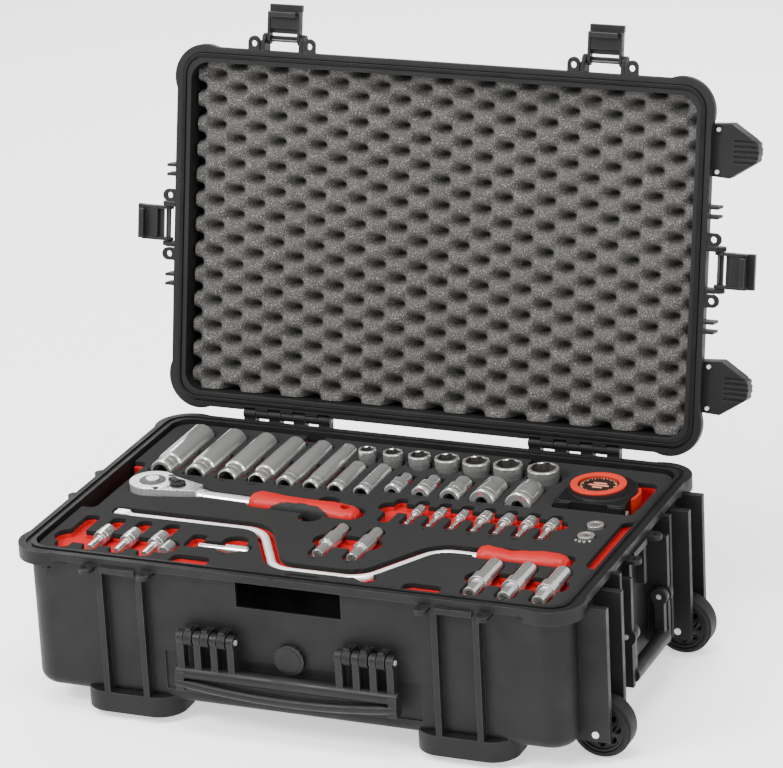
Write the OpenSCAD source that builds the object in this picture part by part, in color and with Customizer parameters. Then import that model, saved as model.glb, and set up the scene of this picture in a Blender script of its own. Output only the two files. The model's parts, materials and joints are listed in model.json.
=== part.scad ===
// Socket wrench set in a wheeled hard tool box with a hinged lid.
// Lengths in millimetres, +Z up, +X towards the wheels, -Y towards the carrying handle.
// The origin is the middle of the shell's flat underside; the feet and the wheels reach below it.
// The modules measure heights from the ground, and from_ground() lowers them to that origin.

/* [Box] */
// Width over the rim
rim_w = 660; // [640:5:700]
// Depth over the rim
rim_d = 428; // [415:1:450]
// Height of the parting line above the ground
rim_z = 194; // [190:1:215]
// Height of the closed lid above the parting line
lid_h = 56; // [50:1:70]
// How far the lid stands open at rest
lid_open = 101.7; // [90:0.1:105]
// Ground clearance under the shell
under = 25; // [22:1:28]

/* [Foam tray] */
// Depth of the tray surface under the parting line
tray_drop = 5; // [4:0.5:6]
// Thickness of the dark upper layer
tray_top_t = 6; // [5:0.5:8]
// Thickness of the red lower layer
tray_low_t = 52; // [48:1:54]

/* [Running gear] */
// Wheel radius
wheel_r = 34; // [30:1:36]
// Wheel width
wheel_w = 30; // [24:1:30]
// Distance of each wheel from the middle of the box
wheel_y = 139; // [135:1:142]

/* [Tools] */
// Length of the long sockets
deep_l = 118; // [100:1:120]
// Length of the ratchet from the drive axis to the end of the grip
ratchet_l = 262; // [255:1:265]
// Radius of the brace bar
brace_r = 5; // [4.5:0.5:6]

/* [Hidden] */
$fn = 48;

// shell
wall = 6;
body_w = rim_w - 20;
body_d = rim_d - 20;
flange_t = 9;
corner_r = 30;
fillet_r = 14;
floor_z = under + 4;
cavity_w = body_w - 2 * wall;
cavity_d = body_d - 2 * wall;
foot_z = 8;
hinge_y = rim_d / 2 + 4;
hinge_z = rim_z + 7;
hinge_r = 6;
hinge_pin_r = 2.5;
hinge_x = 180;
knuckle_w = 16;
knuckle_gap = 0.5;
seal_inset = 7;
seal_w = 5;
axle_x = 336;
axle_z = wheel_r;
axle_r = 4;
fit = 0.1;
parting_gap = 0.1;
pad_stem_r = 4;
pad_stem = 6;

// latches: place of each one on the rim, with its turn about Z
latch_x = 198;
latch_at = [[-latch_x, -rim_d / 2, 0], [latch_x, -rim_d / 2, 0],
            [-rim_w / 2, 0, -90], [rim_w / 2, 0, 90]];
latch_pin_r = 2;
lever_out = 12;
lever_up = 12;
hook_out = 9.5;
hook_up = -4;
cheek_u = 21.5;
lever_half = 20.5;
hook_half = 16.8;

// front handle
handle_z = 114;
handle_y = -(body_d / 2 + 13);
lug_x = 94;
finger_pitch = 20;
handle_pin_r = 3;
// side handle
side_z = 104;
side_x = body_w / 2 + 17;
side_half = 50;
// pull handle
tube_r = 7;
tube_y = 78;
tube_z = 15.5;
tube_x0 = -body_w / 2 - 14;
tube_l = 440;

// foam
tray_w = cavity_w - 6;
tray_d = cavity_d - 6;
tray_top = rim_z - tray_drop;
tray_mid = tray_top - tray_top_t;
tray_bot = tray_mid - tray_low_t;

// how far the floors of the pockets lie under the tray's surface
rack_deep = 11;
plug_deep = 12;
holder_deep = 13;
edge_deep = 9;
grip_deep = 30;
// height over a pocket's floor at which a round tool rests clear of it
rest_gap = 0.5;

// sockets: lying rows and the standing row share columns
deep_x = [for (i = [0:5]) -268.5 + i * 43 - i * (i - 1) * 1.35];
deep_r = [for (i = [0:5]) 15.5 - i];
deep_y = 49;
col_x = [-50, -18, 15, 49, 85, 124, 167];
med_r = 9.8;
med_l = 73;
short_y = 62;
short_l = 48;
short_r = [10, 10.8, 12.2, 15, 15.6];
short_neck = [6.8, 7.8, 10.4, 14.4, 15.2];
up_y = 148;
up_r = [for (i = [0:6]) 10.4 + i * 1.35];
up_l = 38;
up_rise = 12;
lying_z = tray_top - 2;

// ratchet
rat_at = [-257, 4, tray_top - 5];
rat_turn = -3;
head_r = 27;
head_h = 26;
grip_r = 16;
grip_x0 = 128;
// speed brace
brace_y = -72;
brace_z = tray_top - 7;
brace_deep = 13.8;
brace_pts = [[-250, brace_y], [-85, brace_y], [-32, brace_y - 94], [72, brace_y - 94],
             [125, brace_y], [258, brace_y]];
brace_bend = 36;
brace_grip_x0 = 172;
brace_grip_l = 106;
brace_grip_r = 15;
// tape measure
tape_at = [250, 116, tray_top - 26];
tape_h = 37;
tape_r = 39;
// racks
left_rack_x = [-284, -251, -218, -184];
left_rack_y = -138;
right_rack_x = [for (i = [0:7]) 37 + i * 26.5];
right_rack_y = 12;
plug_x = [2, 43];
plug_y = -88;
holder_x = [202, 241, 280];
holder_y = -139;
adapter_y = -133;
ring_x = 272;
ring_y = [28, -3];

// ---------- helpers ----------

// Flat slab with round corners, standing on z = 0
module slab(w, d, h, r) {
    linear_extrude(h) {
        square([w - 2 * r, d], center = true);
        square([w, d - 2 * r], center = true);
        for (x = [-1, 1], y = [-1, 1]) translate([x * (w / 2 - r), y * (d / 2 - r)]) circle(r);
    }
}

// Half profile of a tub: upright side at x = r, lower edge rounded by f
module tub_profile(h, r, f) {
    square([r - f, h]);
    translate([0, f]) square([r, h - f]);
    translate([r - f, f]) circle(f);
}

// Box with round upright edges and a rounded lower edge, standing on z = 0
module tub(w, d, h, r, f) {
    block(w - 2 * r, d - 2 * r, h);
    for (s = [0, 1]) {
        mirror([0, s, 0]) translate([-(w / 2 - r), d / 2 - r, 0]) rotate([90, 0, 90])
            linear_extrude(w - 2 * r) tub_profile(h, r, f);
        mirror([s, 0, 0]) translate([w / 2 - r, d / 2 - r, 0]) rotate([90, 0, 0])
            linear_extrude(d - 2 * r) tub_profile(h, r, f);
        for (t = [0, 1]) mirror([s, 0, 0]) mirror([0, t, 0]) translate([w / 2 - r, d / 2 - r, 0])
            rotate_extrude(angle = 90) tub_profile(h, r, f);
    }
}

// Box centred on x and y, standing on z = 0
module block(w, d, h) {
    translate([-w / 2, -d / 2, 0]) cube([w, d, h]);
}

// Box from one corner to the other
module span(a, b) {
    translate(a) cube(b - a);
}

// Rod along X, Y
module rod_x(r, l) { rotate([0, 90, 0]) cylinder(r = r, h = l, center = true); }
module rod_y(r, l) { rotate([90, 0, 0]) cylinder(r = r, h = l, center = true); }

// The lid's parts are written closed, and this turns them open about the hinge
module opened() {
    translate([0, hinge_y, hinge_z]) rotate([-lid_open, 0, 0]) translate([0, -hinge_y, -hinge_z])
        children();
}

// Frame of a latch: -Y points away from the box, z = 0 is the parting line
module at_latch(i) {
    translate([latch_at[i][0], latch_at[i][1], rim_z]) rotate([0, 0, latch_at[i][2]]) children();
}

// The four latch places
module all_latches() {
    for (i = [0:3]) at_latch(i) children();
}

// Turned about the lid pin of a latch, from shut to standing out
module lever_raised() {
    translate([0, -lever_out, lever_up]) rotate([-90, 0, 0]) translate([0, lever_out, -lever_up])
        children();
}

// Heading of the stretch from a to b, and the turn at the middle one of three points
function heading(a, b) = atan2(b[1] - a[1], b[0] - a[0]);
function turn_at(p, i) = heading(p[i], p[i + 1]) - heading(p[i - 1], p[i]);
function setback(p, i, bend) =
    i == 0 || i == len(p) - 1 ? 0 : bend * tan(abs(turn_at(p, i)) / 2);

// Waist and swell of a hand grip along its length, and the round end
function grip_radius(t) =
    (0.90 + 0.06 * cos(t * 560) + 0.04 * t) * sqrt(1 - pow(max(0, (t - 0.86) / 0.14), 2.4));

// Turned hand grip along +Z, from 0 to l, with largest radius near r
module grip_solid(r, l) {
    n = 24;
    rotate_extrude() polygon(concat([[0, l], [0, 0], [r * 0.82, 0]],
        [for (i = [1:n - 1]) [r * grip_radius(i / n), l * i / n]]));
}

// Follows a bent route with a round bar (h = 0) or a slot of height h. The bends are a hair fatter
// than the straights, which reach into them.
module route(p, bend, r, h) {
    reach = 0.5;
    for (i = [0:len(p) - 2]) {
        a = heading(p[i], p[i + 1]);
        s = setback(p, i, bend) - (i > 0 ? reach : 0);
        e = setback(p, i + 1, bend) - (i < len(p) - 2 ? reach : 0);
        l = norm(p[i + 1] - p[i]) - s - e;
        translate([p[i][0], p[i][1], 0]) rotate([0, 0, a]) translate([s, 0, 0])
            if (h == 0) rotate([0, 90, 0]) cylinder(r = r, h = l);
            else translate([0, -r, 0]) cube([l, 2 * r, h]);
    }
    for (i = [1:len(p) - 2]) {
        t = turn_at(p, i);
        side = sign(t);
        a = heading(p[i - 1], p[i]);
        c = p[i] - setback(p, i, bend) * [cos(a), sin(a)] + side * bend * [-sin(a), cos(a)];
        start = a - side * 90;
        translate([c[0], c[1], 0]) rotate([0, 0, t > 0 ? start : start + t])
            rotate_extrude(angle = abs(t)) translate([bend, 0])
                if (h == 0) circle(r + 0.06); else translate([-r - 0.3, 0]) square([2 * r + 0.6, h]);
    }
}

// ---------- lower half of the box ----------

module rib_pair(x, depth, z0, z1) {
    for (s = [-1, 1]) translate([x + s * 24, 0, 0]) span([-3.5, 0, z0], [3.5, depth, z1]);
}

module rim_groove(inset, w) {
    difference() {
        slab(rim_w - 2 * inset, rim_d - 2 * inset, 3.2, 34 - inset);
        slab(rim_w - 2 * inset - 2 * w, rim_d - 2 * inset - 2 * w, 3.2, 34 - inset - w);
    }
}

module corner_bulges(z, h) {
    for (x = [-1, 1], y = [-1, 1])
        translate([x * (rim_w / 2 - 36), y * (rim_d / 2 - 36), z]) cylinder(r = 39, h = h);
}

// Flat eyelet for a padlock, hole upright, at u along the rim
module eyelet(u, z) {
    translate([u, -1.5, z]) difference() {
        union() { block(15, 15, 5); translate([0, -7.5, 0]) cylinder(r = 7.5, h = 5); }
        translate([0, -6, -1]) cylinder(r = 3.6, h = 7);
    }
}

module base_catch() {
    // two ribs, the ledge that the hook holds, and the padlock eyelets
    rib_pair(0, 16, -rim_z + foot_z, -flange_t);
    span([-21, 0, -16], [21, 10, -flange_t]);
    translate([0, -4, 0]) span([-21, 0, -16], [21, 5, -flange_t]);
    for (s = [-1, 1]) eyelet(s * 35, -flange_t - 5);
}

module wheel_well(grow, z) {
    for (s = [-1, 1]) translate([0, s * wheel_y, 0])
        span([axle_x - wheel_r - 5 - grow, -wheel_w / 2 - 3 - grow, z],
             [body_w / 2 + 40 * (1 - sign(grow)), wheel_w / 2 + 3 + grow, axle_z + wheel_r + 5 + grow]);
}

module wheel_cheeks() {
    for (s = [-1, 1], t = [-1, 1]) translate([0, s * wheel_y + t * 24, 0]) difference() {
        span([body_w / 2 - 12, -4, axle_z - 8], [axle_x + 16, 4, rim_z - flange_t - 3]);
        translate([axle_x, 0, axle_z]) rod_y(axle_r + fit, 12);
    }
}

module handle_lugs() {
    // three fixed knuckles each side for the front handle
    for (s = [-1, 1], k = [-1:1]) translate([s * lug_x + k * finger_pitch, 0, handle_z]) difference() {
        union() {
            translate([0, handle_y, 0]) rod_x(9, 9);
            span([-4.5, handle_y, -9], [4.5, -body_d / 2 + 1, 9]);
            span([-3, handle_y - 5, 7], [3, handle_y + 3, 12]);
        }
        translate([0, handle_y, 0]) rod_x(handle_pin_r, 12);
    }
}

module side_lugs() {
    for (s = [-1, 1]) translate([0, s * (side_half + 11), side_z]) difference() {
        union() {
            span([body_w / 2 - 1, -3.5, -60], [body_w / 2 + 24, 3.5, 78 - flange_t]);
            translate([side_x, 0, 0]) rod_y(11, 7);
        }
        translate([side_x, 0, 0]) rod_y(handle_pin_r, 9);
    }
}

module base_knuckles() {
    for (s = [-1, 1], k = [-3:2:3]) translate([s * hinge_x + k * knuckle_w, 0, 0]) {
        difference() {
            union() {
                translate([0, hinge_y, hinge_z]) rod_x(hinge_r, knuckle_w - knuckle_gap);
                span([-7.5, hinge_y - 5, rim_z - 26], [7.5, hinge_y + hinge_r, hinge_z]);
            }
            translate([0, hinge_y, hinge_z]) rod_x(hinge_pin_r + 0.05, knuckle_w + 1);
        }
    }
}

module tube_guides() {
    for (s = [-1, 1], x = [-body_w / 2 + 34, 10, 110]) translate([x, s * tube_y, 0]) difference() {
        span([-22, -14, foot_z], [22, 14, under + 2]);
        translate([0, 0, tube_z]) rod_x(tube_r + fit, 60);
    }
}

module base_shell() color("#2b2c2d") difference() {
    union() {
        translate([0, 0, under]) tub(body_w, body_d, rim_z - under - 3, corner_r, fillet_r);
        translate([0, 0, rim_z - flange_t]) slab(rim_w, rim_d, flange_t, 34);
        corner_bulges(rim_z - 16, 16);
        for (i = [0, 1]) at_latch(i) base_catch();
        for (i = [2, 3]) at_latch(i) {
            rib_pair(0, 16, -rim_z + 130, -flange_t);
            span([-21, -4, -16], [21, 10, -flange_t]);
            for (s = [-1, 1]) eyelet(s * 35, -flange_t - 5);
        }
        // ribs of the back, the left end and the wheel end
        for (s = [-1, 1]) translate([s * latch_x, rim_d / 2 - 14, 0]) rib_pair(0, 12, foot_z, rim_z - 10);
        for (y = [-150, -84, -66, 66, 84, 150])
            span([-body_w / 2 - 12, y - 3, 40], [-body_w / 2 + 1, y + 3, rim_z - 6]);
        for (y = [-84, 84]) span([body_w / 2 - 1, y - 3, 40], [body_w / 2 + 20, y + 3, rim_z - 6]);
        // small gussets by the front corners
        for (s = [-1, 1])
            span([s * 290 - 4, -rim_d / 2 + 2, rim_z - 22], [s * 290 + 4, -body_d / 2 + 1, rim_z - 8]);
        // foot blocks under the ribs
        for (x = [-1, 1], y = [-1, 1]) translate([x * latch_x, y * 176, foot_z]) slab(116, 76, 24, 30);
        tube_guides();
        wheel_cheeks();
        wheel_well(4, under);
        handle_lugs();
        side_lugs();
        base_knuckles();
        // collar of the valve
        translate([0, -body_d / 2 + 4, 97]) rod_y(20, 8);
    }
    // inside
    difference() {
        translate([0, 0, floor_z]) slab(cavity_w, cavity_d, rim_z, corner_r - wall);
        wheel_well(4, under);
    }
    wheel_well(0, -1);
    // sockets of the pads' stems
    for (x = [-1, 1], y = [-1, 1]) translate([x * latch_x, y * 176, foot_z - 1])
        cylinder(r = pad_stem_r + fit, h = pad_stem + 1 + fit);
    // groove of the seal
    translate([0, 0, rim_z - 3]) rim_groove(seal_inset - 0.6, seal_w + 1.2);
    // shallow panel behind the handle, label recess and valve seat
    span([-152, -body_d / 2 - 1, 42], [152, -body_d / 2 + 2, 88]);
    span([-62, -body_d / 2 - 1, 151], [62, -body_d / 2 + 3, 181]);
    translate([0, -body_d / 2, 97]) rod_y(17.6, 8);
    translate([0, -body_d / 2, 97]) rod_y(4 + fit, 30);
}

module spacer_foam() color("#26282a") difference() {
    translate([0, 0, floor_z + 0.5]) slab(tray_w, tray_d, tray_bot - floor_z - 1, 21);
    translate([-20, 0, floor_z - 1]) slab(460, 270, tray_bot, 20);
    wheel_well(6, 0);
}

module foot_pads() color("#1b1b1b")
    for (x = [-1, 1], y = [-1, 1]) translate([x * latch_x, y * 176, 0]) {
        slab(34, 24, foot_z, 5);
        translate([0, 0, foot_z - 1]) cylinder(r = pad_stem_r, h = pad_stem + 1);
    }

module wheel_axles() color("#b9bcbf")
    for (s = [-1, 1]) translate([axle_x, s * wheel_y, axle_z]) rod_y(axle_r, 58);

module handle_pins() color("#c4c6c8") {
    for (s = [-1, 1]) translate([s * lug_x, handle_y, handle_z]) rod_x(handle_pin_r, 4 * finger_pitch - 9);
    for (s = [-1, 1]) translate([side_x, s * (side_half + 6), side_z]) rod_y(handle_pin_r, 20);
}

module label_panel() color("#0c0c0c")
    span([-61, -body_d / 2 + 1.6, 152], [61, -body_d / 2 + 3, 180]);

module front_handle() color("#242526") difference() {
    union() {
        for (s = [-1, 1], k = [-1.5:1:1.5]) translate([s * lug_x + k * finger_pitch, handle_y, 0]) {
            translate([0, 0, handle_z]) rod_x(8, 8);
            span([-4, -6, handle_z - 38], [4, 5, handle_z]);
        }
        // upper bar, drooping lower lip, the thin web between them and the ends
        translate([0, handle_y - 1, handle_z - 42]) rod_x(8, 262);
        intersection() {
            translate([0, handle_y - 5, handle_z - 62 + 900]) rotate([90, 0, 0]) rotate_extrude()
                translate([900, 0]) circle(5.5);
            span([-131, handle_y - 12, handle_z - 90], [131, handle_y + 8, handle_z - 50]);
        }
        span([-126, handle_y - 2, handle_z - 66], [126, handle_y + 2, handle_z - 42]);
        for (s = [-1, 1])
            span([s * 126 - 5, handle_y - 9, handle_z - 62], [s * 126 + 5, handle_y + 5, handle_z - 40]);
    }
    for (s = [-1, 1]) translate([s * lug_x, handle_y, handle_z]) rod_x(handle_pin_r + fit, 90);
}

module side_handle() color("#242526") difference() {
    union() {
        for (s = [-1, 1]) translate([side_x, s * side_half, side_z]) {
            rod_y(10, 9);
            span([-6, -4.5, -50], [6, 4.5, 0]);
        }
        translate([side_x + 2, 0, side_z - 50]) rod_y(9, 2 * side_half + 9);
    }
    for (s = [-1, 1]) translate([side_x, s * side_half, side_z]) rod_y(handle_pin_r + fit, 12);
}

module pull_grip() color("#202122") difference() {
    union() {
        translate([tube_x0 - 9, 0, tube_z + 1]) rod_y(9, 2 * tube_y - 10);
        for (s = [-1, 1]) translate([tube_x0 - 9, s * tube_y, 0]) span([-9, -13, 7], [20, 13, under]);
    }
    for (s = [-1, 1]) translate([tube_x0 + 8, s * tube_y, tube_z]) rod_x(tube_r, 14);
}

module pull_tubes() color("#a9adb0") difference() {
    for (s = [-1, 1]) translate([tube_x0 + 1 + tube_l / 2, s * tube_y, tube_z]) rod_x(tube_r, tube_l);
    for (s = [-1, 1]) translate([tube_x0 + tube_l / 2, s * tube_y, tube_z]) rod_x(tube_r - 1.2, tube_l + 9);
}

module wheel_hub(s) color("#222324") translate([axle_x, s * wheel_y, axle_z]) difference() {
    rod_y(wheel_r - 7, wheel_w - 4);
    rod_y(axle_r + fit, wheel_w);
    for (k = [0:7]) rotate([0, k * 45, 0]) translate([17.5, 0, 0]) {
        rod_y(4.6, wheel_w);
        translate([-5, 0, 0]) rod_y(2.6, wheel_w);
    }
    for (t = [-1, 1]) translate([0, t * wheel_w / 2, 0]) difference() {
        rod_y(wheel_r - 10, 10);
        rod_y(9, 10);
    }
}

module wheel_tyre(s) color("#171717") translate([axle_x, s * wheel_y, axle_z]) difference() {
    union() {
        rod_y(wheel_r, wheel_w - 8);
        rod_y(wheel_r - 2.5, wheel_w);
    }
    rod_y(wheel_r - 7, wheel_w + 1);
}

module valve_knob() color("#303132") translate([0, -body_d / 2, 97]) {
    translate([0, -1.5, 0]) rod_y(17, 9);
    translate([0, -1.5, 0]) for (k = [0:15]) rotate([0, k * 22.5, 0]) translate([16.4, 0, 0]) rod_y(1.1, 9);
    translate([0, 1, 0]) rod_y(4, 12);
    translate([0, -6, 0]) rod_y(12.5, 2);
}

// ---------- lid ----------

module lid_bracket() {
    // cheeks that hold the lid pin, and the padlock eyelets
    for (s = [-1, 1]) difference() {
        union() {
            translate([s * 24, 0, 0]) span([-2.5, -lever_out, 1], [2.5, 12, 20]);
            translate([s * 24, -lever_out, lever_up]) rod_x(8, 5);
        }
        translate([0, -lever_out, lever_up]) rod_x(latch_pin_r, 60);
    }
    for (s = [-1, 1]) eyelet(s * 35, 1);
}

module lid_knuckles() {
    for (s = [-1, 1], k = [-2:2:2]) translate([s * hinge_x + k * knuckle_w, 0, 0]) difference() {
        union() {
            translate([0, hinge_y, hinge_z]) rod_x(hinge_r, knuckle_w - knuckle_gap);
            span([-7.5, hinge_y - 12, hinge_z - 4], [7.5, hinge_y, hinge_z + hinge_r]);
        }
        translate([0, hinge_y, hinge_z]) rod_x(hinge_pin_r + 0.05, knuckle_w + 1);
    }
}

module lid_shell() color("#2b2c2d") opened() difference() {
    union() {
        translate([0, 0, rim_z + lid_h]) mirror([0, 0, 1])
            tub(body_w, body_d, lid_h - 3, corner_r, fillet_r);
        translate([0, 0, rim_z + parting_gap]) slab(rim_w, rim_d, flange_t - parting_gap, 34);
        corner_bulges(rim_z + parting_gap, 10);
        all_latches() lid_bracket();
        lid_knuckles();
        // fins on both ends
        for (s = [-1, 1], y = [-71, -60, 60, 71]) translate([s * (rim_w / 2 + 4), y, rim_z + 1])
            block(16, 3.6, 19);
        // raised runners on top
        for (x = [-205, 205]) translate([x, 0, rim_z + lid_h - 1]) slab(60, 330, 4, 12);
        for (y = [-130, 0, 130]) translate([0, y, rim_z + lid_h - 1]) slab(300, 26, 3, 10);
    }
    translate([0, 0, rim_z - 1]) slab(cavity_w - 4, cavity_d - 4, lid_h - 3, corner_r - wall - 2);
    translate([0, 0, rim_z - 0.7]) rim_groove(seal_inset, seal_w);
    // room for the base knuckles
    for (s = [-1, 1], k = [-3:2:3]) translate([s * hinge_x + k * knuckle_w, hinge_y, hinge_z]) {
        rod_x(hinge_r + 1, knuckle_w + 0.2);
        span([-8.1, -hinge_r - 1, -9], [8.1, 8, 0]);
    }
    for (s = [-1, 1], y = [-135, 135])
        translate([rim_w / 2 + 6, y + s * 24, rim_z + 4]) cylinder(r = 2.5, h = 30);
}

module lid_gasket() color("#0e0e0e") opened() translate([0, 0, rim_z - 1.8]) difference() {
    slab(rim_w - 2 * seal_inset, rim_d - 2 * seal_inset, 4.3, 34 - seal_inset);
    translate([0, 0, -1]) slab(rim_w - 2 * (seal_inset + seal_w), rim_d - 2 * (seal_inset + seal_w), 7,
                               34 - seal_inset - seal_w);
}

module lid_foam() color("#3a3a3c") opened()
    translate([0, 0, rim_z + 12]) slab(cavity_w - 6, cavity_d - 6, lid_h - 16.2, corner_r - wall - 3);

module lid_bumpers() color("#28292a") opened()
    for (y = [-135, 135]) translate([rim_w / 2, y, rim_z + 11]) difference() {
        linear_extrude(20) polygon([[-9, -29], [20, -31], [51, -11], [53, 0], [51, 11], [20, 31], [-9, 29]]);
        for (k = [-2:2]) span([24, k * 6 - 1.2, 17.5], [60, k * 6 + 1.2, 21]);
        for (k = [-2:2]) span([24, k * 6 - 1.2, -1], [60, k * 6 + 1.2, 2.5]);
        for (s = [-1, 1]) translate([6, s * 24, -1]) cylinder(r = 2.5, h = 30);
    }

module lid_screws() color("#c9cbcd") opened()
    for (y = [-135, 135], s = [-1, 1]) translate([rim_w / 2 + 6, y + s * 24, rim_z + 8]) difference() {
        union() { cylinder(r = 2.4, h = 24); translate([0, 0, 23]) cylinder(r = 4.5, h = 3); }
        translate([0, 0, 24.5]) cylinder(r = 2, h = 4, $fn = 6);
    }

module hinge_pins() color("#b4b7ba")
    for (s = [-1, 1]) translate([s * hinge_x, hinge_y, hinge_z]) rod_x(hinge_pin_r, 7 * knuckle_w);

// ---------- latches ----------

module lever_shape() difference() {
    union() {
        for (s = [-1, 1]) translate([s * 18.8, 0, 0]) span([-1.7, -16, -22], [1.7, -6, 12]);
        for (s = [-1, 1]) translate([s * 18.8, -lever_out, lever_up]) rod_x(5, 3.4);
        span([-lever_half, -16, -30], [lever_half, -12.2, 4]);
        span([-lever_half, -18.5, -30], [lever_half, -12.2, -22]);
        span([-18, -16, 7], [18, -12.2, lever_up]);
    }
    translate([0, -lever_out, lever_up]) rod_x(latch_pin_r + fit, 60);
    translate([0, -hook_out, hook_up]) rod_x(1.6, 60);
    span([-13, -20, -17], [13, -10, -5]);
}

module hook_shape() union() {
    span([-hook_half, -10.8, -22], [hook_half, -7, -2]);
    span([-hook_half, -10.8, -22], [hook_half, 2, -16.5]);
    translate([0, -hook_out, hook_up]) rod_x(2.4, 2 * hook_half);
    translate([0, -hook_out, hook_up]) rod_x(1.5, 40.6);
}

module latch_lever(i) color("#2a2b2c") opened() at_latch(i) lever_raised() lever_shape();
module latch_hook(i) color("#3a3b3d") opened() at_latch(i) lever_raised() hook_shape();
module latch_pins() color("#c9cbcd") opened() all_latches()
    translate([0, -lever_out, lever_up]) rod_x(latch_pin_r, 53);

// ---------- foam tray ----------

// Pocket of a lying socket: half round, open upwards, front end at y
module lying_pocket(x, y, l, r) {
    translate([x, y + l / 2, lying_z]) rod_y(r, l);
    translate([x, y + l / 2, lying_z]) block(2 * r, l, 60);
}

// Row of slots joined by a cross slot with round ends
module rack(xs, y, l, w, cross_y, cross_h) {
    for (x = xs) translate([x, y, 0]) slab(w, l, 60, w / 2 - 1);
    translate([(xs[0] + xs[len(xs) - 1]) / 2, cross_y, 0])
        slab(xs[len(xs) - 1] - xs[0] + 40, cross_h, 60, cross_h / 2 - 1);
}

// Puts a cutter's floor at a depth under the tray's surface
module sunk(deep) {
    translate([0, 0, tray_top - deep]) children();
}

// Shallow pockets, where the red layer shows beside the tools
module shallow_pockets() {
    sunk(rack_deep) {
        rack(left_rack_x, left_rack_y, 92, 18, left_rack_y - 14, 34);
        translate([left_rack_x[3] + 10, left_rack_y - 14, 0]) slab(40, 34, 60, 12);
        rack(right_rack_x, right_rack_y, 70, 15, right_rack_y + 8, 26);
        // adapter pocket with its finger hole
        translate([-107, adapter_y, 0]) slab(68, 17, 60, 5);
        translate([-143, adapter_y + 5, 0]) slab(18, 34, 60, 5);
        translate([-98, adapter_y + 6, 0]) slab(30, 46, 60, 14);
    }
    sunk(plug_deep) rack(plug_x, plug_y, 90, 22, plug_y + 2, 34);
    sunk(holder_deep) rack(holder_x, holder_y, 92, 24, holder_y + 2, 34);
    // speed brace with its grip and a finger hole
    sunk(brace_deep) {
        route(brace_pts, brace_bend, 9.5, 60);
        translate([-258, brace_y, 0]) slab(26, 19, 60, 6);
        translate([74, brace_y - 95, 0]) rotate([0, 0, -35]) slab(40, 20, 60, 9);
    }
    translate([brace_grip_x0 + brace_grip_l / 2, brace_y, brace_z - brace_grip_r - 1])
        slab(brace_grip_l + 8, 2 * brace_grip_r + 3, 60, 10);
    // finger cut-outs at the front and the right end
    sunk(edge_deep) {
        translate([-127, -tray_d / 2 + 4, 0]) slab(46, 46, 60, 9);
        translate([12, -tray_d / 2, 0]) slab(44, 24, 60, 9);
        translate([148, -tray_d / 2 + 3, 0]) slab(44, 42, 60, 9);
        translate([tray_w / 2 + 4, -16, 0]) slab(36, 134, 60, 12);
    }
}

// Close-fitting pockets of the larger tools
module deep_pockets() {
    // two notches at the back
    sunk(25) for (x = [-134, 147]) translate([x, tray_d / 2, 0]) slab(24, 34, 60, 5);
    // lying sockets
    for (i = [0:5]) lying_pocket(deep_x[i], deep_y - 2, deep_l + 5, deep_r[i] + 1);
    for (i = [0, 1]) lying_pocket(col_x[i], deep_y - 2, med_l + 5, med_r + 1);
    for (i = [0:4]) lying_pocket(col_x[i + 2], short_y - 2, short_l + 5, short_r[i] + 1);
    // standing sockets
    for (i = [0:6]) translate([col_x[i], up_y, tray_top + up_rise - up_l - 0.6])
        cylinder(r = up_r[i] + 1, h = 80);
    // ratchet
    translate([rat_at[0], rat_at[1], 0]) rotate([0, 0, rat_turn]) {
        translate([0, 0, rat_at[2] - head_h / 2 - 1]) cylinder(r = head_r + 1.5, h = 60);
        translate([0, 0, rat_at[2] - head_h / 2 - 1]) linear_extrude(60)
            polygon([[8, -28], [66, -12], [66, 12], [8, 28]]);
        translate([90, 0, rat_at[2] - 10]) block(84, 20, 60);
        translate([(grip_x0 + ratchet_l) / 2, 0, rat_at[2] - grip_r - 1])
            slab(ratchet_l - grip_x0 + 10, 2 * grip_r + 4, 60, 14);
        translate([212, 0, 0]) sunk(grip_deep) slab(26, 74, 60, 12);
    }
    translate([rat_at[0], rat_at[1], 0]) sunk(38) cylinder(r = 15, h = 60);
    // tape measure
    translate([tape_at[0], tape_at[1], tape_at[2] - 0.6]) {
        translate([0, 2, 0]) cylinder(r = tape_r + 2, h = 60);
        translate([2, -21, 0]) slab(96, 54, 60, 6);
        translate([30, 6, 0]) slab(44, 80, 60, 10);
    }
    // reducers and small bits
    sunk(10) {
        for (y = ring_y) translate([ring_x, y, 0]) cylinder(r = 10.4, h = 60);
        for (k = [0:3]) translate([ring_x - 8 + k * 5.4, -19 + 3 * abs(k - 1.5), 0])
            cylinder(r = 2.2, h = 60);
    }
}

module foam_tray() color("#3c3f40") difference() {
    translate([0, 0, tray_mid + 0.2]) slab(tray_w, tray_d, tray_top_t - 0.2, 21);
    shallow_pockets();
    deep_pockets();
    // left end recess
    translate([-tray_w / 2, -2, tray_mid - 1]) slab(34, 140, 60, 8);
    // shallow finger dips beside the sockets
    sunk(tray_top_t - 1) {
        for (i = [0:5]) translate([deep_x[i] + deep_r[i] - 1, deep_y + 40, 0]) slab(14, 60, 60, 4);
        for (i = [0:6]) translate([col_x[i] + 4, up_y - 6, 0]) cylinder(r = up_r[i] + 1, h = 60);
    }
}

module tray_backing() color("#b3181c") difference() {
    translate([0, 0, tray_bot]) slab(tray_w, tray_d, tray_low_t, 21);
    shallow_pockets();
    deep_pockets();
    translate([-tray_w / 2, -2, tray_bot - 1]) slab(30, 132, 80, 8);
}

// ---------- ratchet ----------

module at_ratchet() {
    translate(rat_at) rotate([0, 0, rat_turn]) children();
}

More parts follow.
